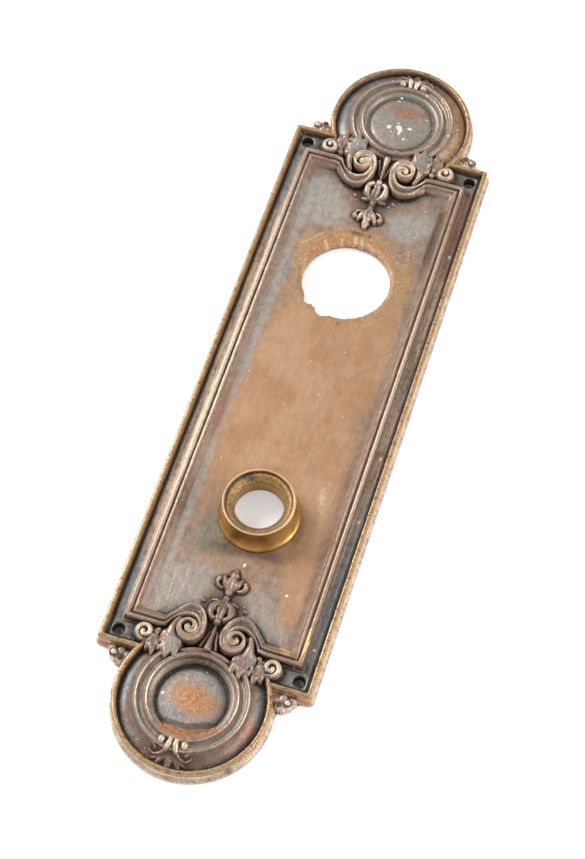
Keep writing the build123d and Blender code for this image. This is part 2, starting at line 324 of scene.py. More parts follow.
def rosette_path():
    """The spiral of the corner rosette, from its stem to its heart."""
    angles = np.radians(np.linspace(110, -330, 17))
    radii = np.interp(np.linspace(0, 1, 17), (0, 0.25, 0.6, 0.85, 1), (2.5, 2.2, 2.0, 1.2, 0.3))
    return [(ROSETTE_X + r * cos(a), ROSETTE_Y + r * sin(a)) for a, r in zip(angles, radii)]


ROSETTE = (rosette_path(), (0.75, 0.9, 0.92, 0.85, 0.85), (6, 6.7, 6.9, 7, 7), "round")


def carve_face(x, y):
    """Height of the face at plan points, in millimetres."""
    far = np.abs(y)
    # The ornament sits a little left of the middle, more so at the lower end
    shift = np.where(y > 0, -0.1, -0.6) * smooth_step(far, 60, 72)
    u, v = np.abs(x - shift), far
    spray_u = np.abs(x - np.where(y > 0, -0.1, -0.4))
    # Ground: border channel, sunk discs and a dip round each screw
    z = np.full(x.shape, FLOOR_Z)
    z -= 0.9 * smooth_step(2.75 - inside_distance(x, y), 0, 0.5)
    z -= 1.2 * smooth_step(21 - np.hypot(x, far - DISC_Y), 0, 1.5) * (far > 88)
    z -= 0.35 * (1 - smooth_step(np.hypot(np.abs(x) - SCREW_X, far - SCREW_Y), 1.9, 2.6))
    for stroke in BEADS + BUD + SHELL + FLAME:
        z = raise_stroke(z, u, v, stroke)
    z = raise_stroke(z, spray_u, v, bead(ROSETTE_X, ROSETTE_Y, 2.6, 5.9))
    z = raise_stroke(z, spray_u, v, ROSETTE, fillet=0.1)
    for stroke in LEAF_B + LEAF_A:
        z = raise_stroke(z, spray_u, v, stroke, fillet=0.3, rod=0.8)
    for px, py, radius, depth in PITS:
        z -= depth * np.exp(-((u - px) ** 2 + (v - py) ** 2) / radius ** 2)
    return z


# %% Grid of the face
def spaced(stops):
    """Grid lines from pairs of start and spacing, the last pair being the end."""
    lines = []
    for (start, gap), (end, _) in zip(stops, stops[1:]):
        count = max(int(round((end - start) / gap)), 1)
        lines += list(np.linspace(start, end, count, endpoint=False))
    return lines + [stops[-1][0]]


right_lines = spaced([(0, 0.29), (24.3, 0.55), (27.0, 0.4), (33.2, 0.4)])
grid_x = sorted([-value for value in right_lines[1:]] + right_lines)
grid_y = spaced([(-104.4, 0.28), (-67, 1.5), (26, 0.7), (67, 0.28), (104.4, 0.28)])
face = bmesh.new()
bmesh.ops.create_grid(face, x_segments=len(grid_x) - 1, y_segments=len(grid_y) - 1, size=1.0)
for vert in face.verts:
    column = round((vert.co.x + 1) / 2 * (len(grid_x) - 1))
    row = round((vert.co.y + 1) / 2 * (len(grid_y) - 1))
    vert.co = (grid_x[column], grid_y[row], 0)
middles = np.array([f.calc_center_median()[:2] for f in face.faces])
outside = inside_distance(middles[:, 0], middles[:, 1]) < 0.9
outside |= (np.abs(middles[:, 0]) > 25.5) & (np.abs(middles[:, 1]) > 102.0)
bmesh.ops.delete(face, geom=[f for f, gone in zip(list(face.faces), outside) if gone], context="FACES")
print("face grid", len(grid_x), "by", len(grid_y), "lines")

# %% Holes
def bite(angle, centre_angle, centre_reach, radius):
    """How far a round bite out of the hole's edge reaches along a ray from the hole's centre."""
    off = angle - centre_angle
    across = centre_reach * np.sin(off)
    reach = centre_reach * np.cos(off) + np.sqrt(np.clip(radius ** 2 - across ** 2, 0, None))
    return np.where((np.abs(across) < radius) & (np.cos(off) > 0), reach, 0.0)


def cylinder_edge(angle):
    """Radius of the ragged hole for the lock cylinder at an angle about its centre."""
    angle = np.asarray(angle, float)
    radius = np.maximum(HOLE_RADIUS, bite(angle, radians(227), 14.1, 2.3))
    radius = np.maximum(radius, bite(angle, radians(253), 13.6, 2.9))
    ragged = 0.10 * np.sin(angle * 23 + 1) * np.sin(angle * 9) + 0.06 * np.sin(angle * 47)
    chipped = 0.22 * np.abs(np.sin(angle * 17 + 2) + np.sin(angle * 41))
    return radius + ragged + chipped * smooth_step(np.cos(angle - radians(88)), 0.75, 0.95)


def cut_hole(bm, cx, cy, edge_radius, ease):
    """Deletes the faces inside a hole, moves the cut edge onto its outline and evens what is near."""
    inside = []
    for f in bm.faces:
        mx, my = f.calc_center_median()[:2]
        if abs(mx - cx) < 18 and abs(my - cy) < 18:
            if np.hypot(mx - cx, my - cy) < float(edge_radius(atan2(my - cy, mx - cx))):
                inside.append(f)
    cut = {v for f in inside for v in f.verts}
    bmesh.ops.delete(bm, geom=inside, context="FACES")
    rim = {v for v in bm.verts if v in cut}
    for v in rim:
        angle = atan2(v.co.y - cy, v.co.x - cx)
        radius = float(edge_radius(angle))
        v.co.x, v.co.y = cx + radius * cos(angle), cy + radius * sin(angle)
    reach = float(edge_radius(0)) + ease
    around = [v for v in bm.verts if v not in rim and not v.is_boundary
              and np.hypot(v.co.x - cx, v.co.y - cy) < reach]
    for _ in range(5):
        bmesh.ops.smooth_vert(bm, verts=around, factor=0.5, use_axis_x=True, use_axis_y=True)


cut_hole(face, HOLE_X, HOLE_Y, cylinder_edge, 2.4)
cut_hole(face, 0, COLLAR_Y, lambda angle: COLLAR_OPENING, 4.8)
for cx, cy in screws:
    cut_hole(face, cx, cy, lambda angle: SCREW_RADIUS, 1.2)
print("face has", sum(e.is_boundary for e in face.edges), "open edges round its outline and holes")

# %% Relief, walls and flat back
def drop_walls(bm, z):
    """Extrudes the open edges straight down to a height."""
    walls = bmesh.ops.extrude_edge_only(bm, edges=[e for e in bm.edges if e.is_boundary])["geom"]
    for part in walls:
        if isinstance(part, bmesh.types.BMVert):
            part.co.z = z


plan = np.array([v.co[:2] for v in face.verts])
heights = carve_face(plan[:, 0], plan[:, 1])
to_hole = np.hypot(plan[:, 0] - HOLE_X, plan[:, 1] - HOLE_Y)
heights -= 0.25 * (1 - smooth_step(to_hole, HOLE_RADIUS, HOLE_RADIUS + 1.3))
for v, z in zip(face.verts, heights):
    v.co.z = z
drop_walls(face, FACE_BACK_Z)


def close_back(bm):
    """Closes the flat open back of a relief round its holes."""
    edges = [e for e in bm.edges if e.is_boundary]
    verts = list(dict.fromkeys(v for e in edges for v in e.verts))
    number = {v: i for i, v in enumerate(verts)}
    ends = np.array([[number[v] for v in e.verts] for e in edges])
    flat = np.array([v.co[:2] for v in verts])
    filled = delaunay_2d_cdt([Vector(p) for p in flat], ends.tolist(), [], 0, 1e-6)
    triangles, origins = filled[2], filled[3]
    start, end = flat[ends[:, 0]], flat[ends[:, 1]]
    for triangle in triangles:
        corners = [verts[origins[i][0]] for i in triangle if origins[i]]
        if len(corners) < 3:
            continue
        # A middle lies in the metal if a line to its right crosses an odd number of edges
        x, y = np.mean([v.co[:2] for v in corners], axis=0)
        crossed = (start[:, 1] > y) != (end[:, 1] > y)
        a, b = start[crossed], end[crossed]
        right = a[:, 0] + (y - a[:, 1]) / (b[:, 1] - a[:, 1]) * (b[:, 0] - a[:, 0]) > x
        if right.sum() % 2:
            bm.faces.new(corners)
    bmesh.ops.holes_fill(bm, edges=[e for e in bm.edges if e.is_boundary], sides=16)


close_back(face)
casting_pieces.append(finish_piece(face, "carved_face"))

# %% [markdown]
# ## Frame and volutes
# On each side one moulding runs from the eye of the lower scroll, out along its arch, round the
# two corners of the field and back into the upper scroll. Its section changes on the way: two
# small beads and a slope along the frame, a broad flute between two lips in the scroll. So it is
# made as one skin over many sections, each a closed loop of the same number of points.

# %% Sections of the moulding
# Frame: distance in from the outer edge, height
FRAME_SECTION = [
    (-0.85, 2.9), (-0.8, 3.62), (-0.12, 3.76), (-0.02, 4.3), (0.06, 5.6), (0.3, 6.18), (0.8, 6.36),
    (1.3, 6.2), (1.6, 5.65), (1.85, 5.1), (2.1, 5.45), (2.36, 5.86), (2.75, 5.98), (3.1, 5.76),
    (3.36, 5.15), (3.6, 4.85), (4.1, 4.58), (4.6, 4.1), (5, 3.68), (5.3, 3.42), (5.45, 2.9),
]
# Scroll: part of the way across from its inner edge, and a height above the door, or below the
# crest where it isn't above zero
SCROLL_SECTION = [
    (-0.03, 2.9), (-0.01, 3.6), (0, 4.6), (0.01, -1.6), (0.04, -0.65), (0.1, -0.2), (0.17, -0.1),
    (0.23, -0.25), (0.28, -0.58), (0.36, -0.8), (0.46, -0.9), (0.56, -0.82), (0.66, -0.6), (0.73, -0.3),
    (0.8, -0.06), (0.87, 0), (0.94, -0.14), (0.985, -0.55), (1, -1.5), (1.01, 3.8), (1.03, 2.9),
]
# Angle about the eye, and the radius or height there
OUTER_TURN = [
    (-600, 0.9), (-570, 1.5), (-540, 1.85), (-510, 1.95), (-450, 2.1), (-380, 2.25), (-310, 2.35),
    (-270, 2.5), (-235, 2.75), (-205, 3.05), (-180, 3.4), (-163, 3.75), (-145, 4.1), (-119, 4.7),
    (-94, 5.15), (-73, 5.4), (-51, 5.4), (-23, 5.1), (11, 5.05), (39, 5.8), (62, 7), (78, 8.05), (92, 8.6),
    (106, 8.5), (122, 8.35), (140, 8.4), (159, 9.4),
]
INNER_TURN = [
    (-600, 0.02), (-380, 0.05), (-345, 0.35), (-310, 0.9), (-270, 1.5), (-235, 1.95), (-205, 2.2),
    (-180, 2.4), (-150, 2.45), (-114, 2.6), (-77, 2.8), (-39, 2.75), (7, 2.75), (48, 3.15), (81, 3.75),
    (109, 4.2), (136, 4.75), (156, 5.5), (176, 6.4), (191.5, 7.55),
]
CREST_RISE = [
    (-600, 8.3), (-450, 8.4), (-380, 8.8), (-310, 9.2), (-240, 9.1), (-120, 9), (-40, 8.8), (0, 8.3),
    (50, 7.5), (100, 6.8), (140, 6.5), (160, 6.36),
]


def scroll_station(travel, side, end):
    """One section of the scroll: travel is 0 at the frame and 1 at the eye."""
    turn = 159 - 759 * travel
    inner_turn = turn + 32.5 * (1 - float(smooth_step(travel, 0.0, 0.122)))
    outer_radius = float(np.interp(turn, *zip(*OUTER_TURN)))
    inner_radius = float(np.interp(inner_turn, *zip(*INNER_TURN)))
    crest = float(np.interp(turn, *zip(*CREST_RISE)))
    a, b = radians(inner_turn), radians(turn)
    drift = float(smooth_step(-turn, 120, 330))
    eye_x, eye_y = EYE_X - 0.55 * drift, EYE_Y + 0.4 * drift
    inner = Vector((eye_x - inner_radius * cos(a), eye_y - inner_radius * sin(a), 0))
    outer = Vector((eye_x - outer_radius * cos(b), eye_y - outer_radius * sin(b), 0))
    blend = float(smooth_step(travel, 0.0, 0.076))
    width = (outer - inner).length
    flat = min(width / 3.2, 1.0)
    section = []
    for (across, drop), (inward, z) in zip(SCROLL_SECTION, FRAME_SECTION):
        height = drop if drop > 0 else crest + drop * flat
        part = across * blend + (1 - blend) * inward / 5.3
        place = inner + (outer - inner) * part
        section.append((place.x, place.y, height * blend + z * (1 - blend)))
    centre = -0.15 if end > 0 else -0.6
    return [(x * side + centre, y * end, z) for x, y, z in section]


def frame_station(x, y, dx, dy):
    """One section of the straight frame at a corner or a stop, measured inwards by dx and dy."""
    return [(x + dx * inward, y + dy * inward, z) for inward, z in FRAME_SECTION]


def moulding_stations(side):
    """All sections of one side's moulding, from the lower eye to the upper eye."""
    scroll = np.linspace(0, 1, 190)
    stations = [scroll_station(t, side, -1) for t in scroll[::-1]]
    x, y = side * FRAME_HALF_WIDTH, FRAME_HALF_LENGTH
    shorts = [side * value for value in np.linspace(FRAME_BREAK + 0.6, FRAME_HALF_WIDTH - 6, 6)]
    stations += [frame_station(value, -y, 0, 1) for value in shorts]
    stations.append(frame_station(x, -y, -side, 1))
    stations += [frame_station(x, value, -side, 0) for value in np.linspace(-y + 6, y - 6, 90)]
    stations.append(frame_station(x, y, -side, -1))
    stations += [frame_station(value, y, 0, -1) for value in shorts[::-1]]
    stations += [scroll_station(t, side, 1) for t in scroll]
    return stations


# %% Moulding, both sides
for side, name in ((-1, "left_moulding"), (1, "right_moulding")):
    moulding = bmesh.new()
    loops = [draw_loop(moulding, section) for section in moulding_stations(side)]
    skin(moulding, loops)
    for loop in (loops[0], loops[-1]):
        bmesh.ops.edgeloop_fill(moulding, edges=loop)
    casting_pieces.append(finish_piece(moulding, name, sharp=50))

# %% [markdown]
# ## Rings and dishes
# Each disc has a shallow dish inside two rings and a broad cove, all turned on a lathe in the
# pattern. A section spun round the disc's axis is the natural way. The inner ring goes all the way
# round. The outer ring and the cove stop at the leaves.

# %% Spun sections
def spin_section(bm, section, cy, start=0.0, sweep=2 * pi, steps=180):
    """Spins a closed section of radius and height about an upright axis on the middle line."""
    verts = [bm.verts.new((r * cos(start), cy + r * sin(start), z)) for r, z in section]
    edges = [bm.edges.new((verts[i - 1], verts[i])) for i in range(len(verts))]
    full = sweep == 2 * pi
    made = bmesh.ops.spin(bm, geom=verts + edges, cent=(0, cy, 0), axis=(0, 0, 1), angle=sweep, steps=steps,
                          use_merge=full)
    if not full:
        bmesh.ops.edgeloop_fill(bm, edges=edges)
        last = [part for part in made["geom_last"] if isinstance(part, bmesh.types.BMEdge)]
        bmesh.ops.edgeloop_fill(bm, edges=last)


# Radius and height
RINGS_RISE = [
    (11.9, 5.1), (12.3, 5.75), (12.8, 6.1), (13.15, 6.25), (13.32, 6.75), (13.42, 7.3), (13.56, 7.56),
    (13.72, 7.52), (13.95, 7.36), (14.25, 7.34), (14.5, 7.42), (14.66, 7.5), (14.8, 7.4), (14.92, 7.05),
    (15.05, 6.5), (15.3, 6.2), (15.8, 6), (16.3, 6.15), (16.5, 6.3),
]
COVE = [
    (15.8, 5.2), (16.4, 6.1), (16.6, 6.5), (16.7, 7), (16.82, 7.36), (16.98, 7.44), (17.15, 7.34),
    (17.45, 7.26), (17.75, 7.3), (17.95, 7.38), (18.08, 7.28), (18.2, 6.95), (18.35, 6.4), (18.6, 5.85),
    (19, 5.35), (19.5, 4.85), (20, 4.48), (20.5, 4.17), (21, 3.92), (21.5, 3.7), (22, 3.55), (22.4, 3.44),
    (22.9, 3.3), (24, 3.2), (24, 1), (15.8, 1),
]
CURB = [
    (23.2, 2.9), (23.3, 4.6), (23.5, 5.35), (23.9, 5.74), (24.3, 5.78), (24.6, 5.4), (24.75, 4.6),
    (24.8, 2.9),
]
# Heights of the dish at its centre, half way and at its edge
DISH_HEIGHTS = {-1: (4.5, 4.3, 3.75), 1: (6, 5.8, 5.2)}
LEAF_GAP = radians(42)

# %% Rings, coves and dishes
for end, name in ((-1, "lower_rings"), (1, "upper_rings")):
    middle, half, low = DISH_HEIGHTS[end]
    radii = np.linspace(0.01, 9.4, 26)
    dish = list(zip(radii, np.interp(radii, (0, 3.5, 7, 9.4), (middle, middle - 0.04, half, low + 0.32))))
    dish += [(10, low + 0.22), (10.5, low + 0.05), (10.9, low - 0.15), (11.2, low - 0.2), (11.5, low - 0.05)]
    rings = bmesh.new()
    cy = end * DISC_Y
    spin_section(rings, [(0.01, 2.1)] + dish + RINGS_RISE + [(16.6, 2.6), (16.6, 2.1)], cy)
    spin_section(rings, COVE, cy, end * -pi / 2 + LEAF_GAP, 2 * pi - 2 * LEAF_GAP, 170)
    for hand in (-1, 1):
        spin_section(rings, CURB, cy, end * -pi / 2 + hand * radians(56), hand * radians(11), 10)
    axis = [v for v in rings.verts if np.hypot(v.co.x, v.co.y - cy) < 0.05]
    bmesh.ops.remove_doubles(rings, verts=axis, dist=0.03)
    bmesh.ops.delete(rings, geom=[e for e in rings.edges if e.is_wire], context="EDGES")
    casting_pieces.append(finish_piece(rings, name))

# %% [markdown]
# ## Small ornaments
# Where the outer ring turns at the tip of each disc lie two beads, two curled strokes and a fan.
# A low berried bracket sits in each angle between the short side and the disc. The tip ornament is
# carved like the face, on its own small grid, and each berry is a ball on a short shaft that
# stands on the door.

# %% Tip ornaments
# Strokes, written as for the foliage
TIP = [
    ([(3.75, 129.3), (3.8, 129.9)], (1.2, 1.15), (8.5, 8.4), "round"),
    ([(0.95, 128.6), (1.05, 130.2), (1.7, 132)], (0.75, 1, 0.8), (8.3, 8.7, 7.9), "round"),
    ([(1.6, 131.8), (3, 133.2), (4.8, 133.9)], (0.7, 0.45, 0.35), (7.4, 6.2, 5.4), "round"),
    ([(4.8, 133.9), (6, 133.3), (6.8, 132.2)], (0.35, 0.4, 0.3), (5.4, 5.4, 5.6), "round"),
    ([(4.9, 132.2), (5.6, 131.2), (6.4, 130.8)], (0.45, 0.5, 0.4), (6.4, 6.7, 6.8), "round"),
    ([(0, 131.2), (0, 134), (0, 136.6)], (0.8, 1.7, 1.2), (5.8, 5.2, 4.4), "vein"),
    ([(1.2, 132.6), (2.4, 134.2), (3.4, 135.8)], (0.8, 1.2, 0.8), (5.6, 5, 4.3), "vein"),
    ([(2.8, 133.8), (4.2, 134.6), (5.4, 135)], (0.5, 0.7, 0.5), (5, 4.6, 4.2), "round"),
]
for end, name in ((-1, "lower_tip_ornament"), (1, "upper_tip_ornament")):
    tip = bmesh.new()
    bmesh.ops.create_grid(tip, x_segments=74, y_segments=46, size=1.0)
    bmesh.ops.scale(tip, vec=(8.4, end * 5.2, 1), verts=tip.verts[:])
    bmesh.ops.translate(tip, vec=(0, end * 132.6, 0), verts=tip.verts[:])
    spots = np.abs([v.co[:2] for v in tip.verts])
    heights = np.full(len(spots), 2.2)
    for stroke in TIP:
        heights = raise_stroke(heights, spots[:, 0], spots[:, 1], stroke, fillet=0.12)
    for v, z in zip(tip.verts, heights):
        v.co.z = z
    bmesh.ops.translate(tip, vec=(-0.1 if end > 0 else -0.4, 0, 0), verts=tip.verts[:])
    drop_walls(tip, 1.7)
    bmesh.ops.edgeloop_fill(tip, edges=[e for e in tip.edges if e.is_boundary])
    casting_pieces.append(finish_piece(tip, name))

# %% Brackets
# Place, radius and top of each berry
BERRIES = [
    (28.3, 105.9, 1.7, 4.7), (25.9, 107, 1.35, 4.3), (26.4, 104.6, 1.5, 3.9), (29.6, 104.4, 1.3, 3.6),
    (24.4, 105.2, 1.3, 3.4), (27.2, 107.7, 1, 3.2),
]
for sx, sy in ((-1, -1), (1, -1), (-1, 1), (1, 1)):
    bracket = bmesh.new()
    for bx, by, radius, top in BERRIES:
        ball = bmesh.ops.create_icosphere(bracket, subdivisions=4, radius=1.0)["verts"]
        bmesh.ops.scale(bracket, vec=(radius, radius, radius), verts=ball)
        bmesh.ops.translate(bracket, vec=(sx * bx, sy * by, top - radius), verts=ball)
        shaft = [draw_loop(bracket, level_circle(bx * sx, by * sy, radius * 0.98, z, 32))
                 for z in (0.05, top - radius)]
        skin(bracket, shaft)
        for loop in shaft:
            bmesh.ops.edgeloop_fill(bracket, edges=loop)
    name = ("lower" if sy < 0 else "upper") + ("_left" if sx < 0 else "_right") + "_bracket"
    casting_pieces.append(finish_piece(bracket, name))

# %% [markdown]
# ## The collar
# The collar that guides the knob is turned brass: a flared foot on the field, a plain neck, a thin
# lip, and a funnel down to its bore. One spun section gives it true edges.

# %% Turned collar
# Radius and height
COLLAR_SECTION = [
    (13.45, 3.42), (13.47, 3.7), (13.42, 4.02), (13.25, 4.2), (12.9, 4.42), (12.55, 4.75), (12.2, 5.25),
    (11.95, 5.85), (11.75, 6.6), (11.62, 7.5), (11.55, 8.6), (11.55, 9.6), (11.6, 10.6), (11.7, 11.4),
    (11.82, 12.1), (11.85, 12.5), (11.8, 12.82), (11.64, 12.98), (11.4, 13), (11.1, 12.98), (10.92, 12.88),
    (10.85, 12.65), (10.84, 12.3), (10.7, 12.12), (10.3, 12.08), (9.95, 12.05), (9.7, 11.92), (9.45, 11.6),
    (8.6, 10.75), (8.2, 10.35), (8.02, 10.05), (8, 9.6), (8, 5.2), (8.3, 4.9), (10.6, 4.1), (10.6, 0.6),
    (12.15, 0.6), (12.15, 3.42),
]
collar = bmesh.new()
spin_section(collar, COLLAR_SECTION, COLLAR_Y, steps=160)
knob_collar = finish_piece(collar, "turned_collar", wear=0.25)
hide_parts("knob_collar")

# %% [markdown]
# ## Where shade and dirt lie and where hands rub
# Old bronze is dark in its hollows and bright on its crests; here painted shade darkens the hollows
# further and painted highlights brighten the crests. A map of the finished casting's height is taken
# by dropping a ray on each point of a fine grid. Blurred copies of the map show what lies lower or
# higher than its neighbourhood, and the result goes onto the vertices as colour attributes, so that
# the finish follows the carving from every side.

# %% Height map of the casting
MAP_CELL = 0.3
map_x = np.arange(-37.2, 37.2, MAP_CELL)
map_y = np.arange(-141.0, 141.0, MAP_CELL)
all_points, all_faces = [], []
for piece in casting_pieces:
    offset = len(all_points)
    all_points += [v.co / MM for v in piece.data.vertices]
    all_faces += [[offset + i for i in p.vertices] for p in piece.data.polygons]
tree = BVHTree.FromPolygons(all_points, all_faces)
down = Vector((0, 0, -1))
height_map = np.full((len(map_y), len(map_x)), -1.0)
for row, y in enumerate(map_y):
    for column, x in enumerate(map_x):
        hit = tree.ray_cast(Vector((x, y, 20.0)), down)[0]
        if hit is not None:
            height_map[row, column] = hit.z
covered = (height_map > 0.2).astype(float)
print("height map", height_map.shape, "highest", round(float(height_map.max()), 2), "mm")

# %% Blurred copies of the map
def blurred(field, width):
    """A field blurred by a bell curve of a width in millimetres."""
    fy = np.fft.fftfreq(field.shape[0], MAP_CELL)[:, None]
    fx = np.fft.rfftfreq(field.shape[1], MAP_CELL)[None, :]
    bell = np.exp(-2 * (pi * width) ** 2 * (fx ** 2 + fy ** 2))
    return np.fft.irfft2(np.fft.rfft2(field) * bell, field.shape)


def neighbourhood(width):
    """Mean height around each cell, from the covered cells alone."""
    return blurred(height_map * covered, width) / np.maximum(blurred(covered, width), 0.05)


def read_map(field, x, y):
    """Reads a map at plan points, with straight-line blending between cells."""
    fx = np.clip((x - map_x[0]) / MAP_CELL, 0, field.shape[1] - 1.001)
    fy = np.clip((y - map_y[0]) / MAP_CELL, 0, field.shape[0] - 1.001)
    ix, iy = fx.astype(int), fy.astype(int)
    tx, ty = fx - ix, fy - iy
    top = field[iy, ix] * (1 - tx) + field[iy, ix + 1] * tx
    low = field[iy + 1, ix] * (1 - tx) + field[iy + 1, ix + 1] * tx
    return top * (1 - ty) + low * ty


near_mean, mid_mean, far_mean = neighbourhood(0.55), neighbourhood(1.3), neighbourhood(3.2)
deepest = (mid_mean - height_map)[covered > 0].max()
print("deepest hollow", round(float(deepest), 2), "mm below what is round it")
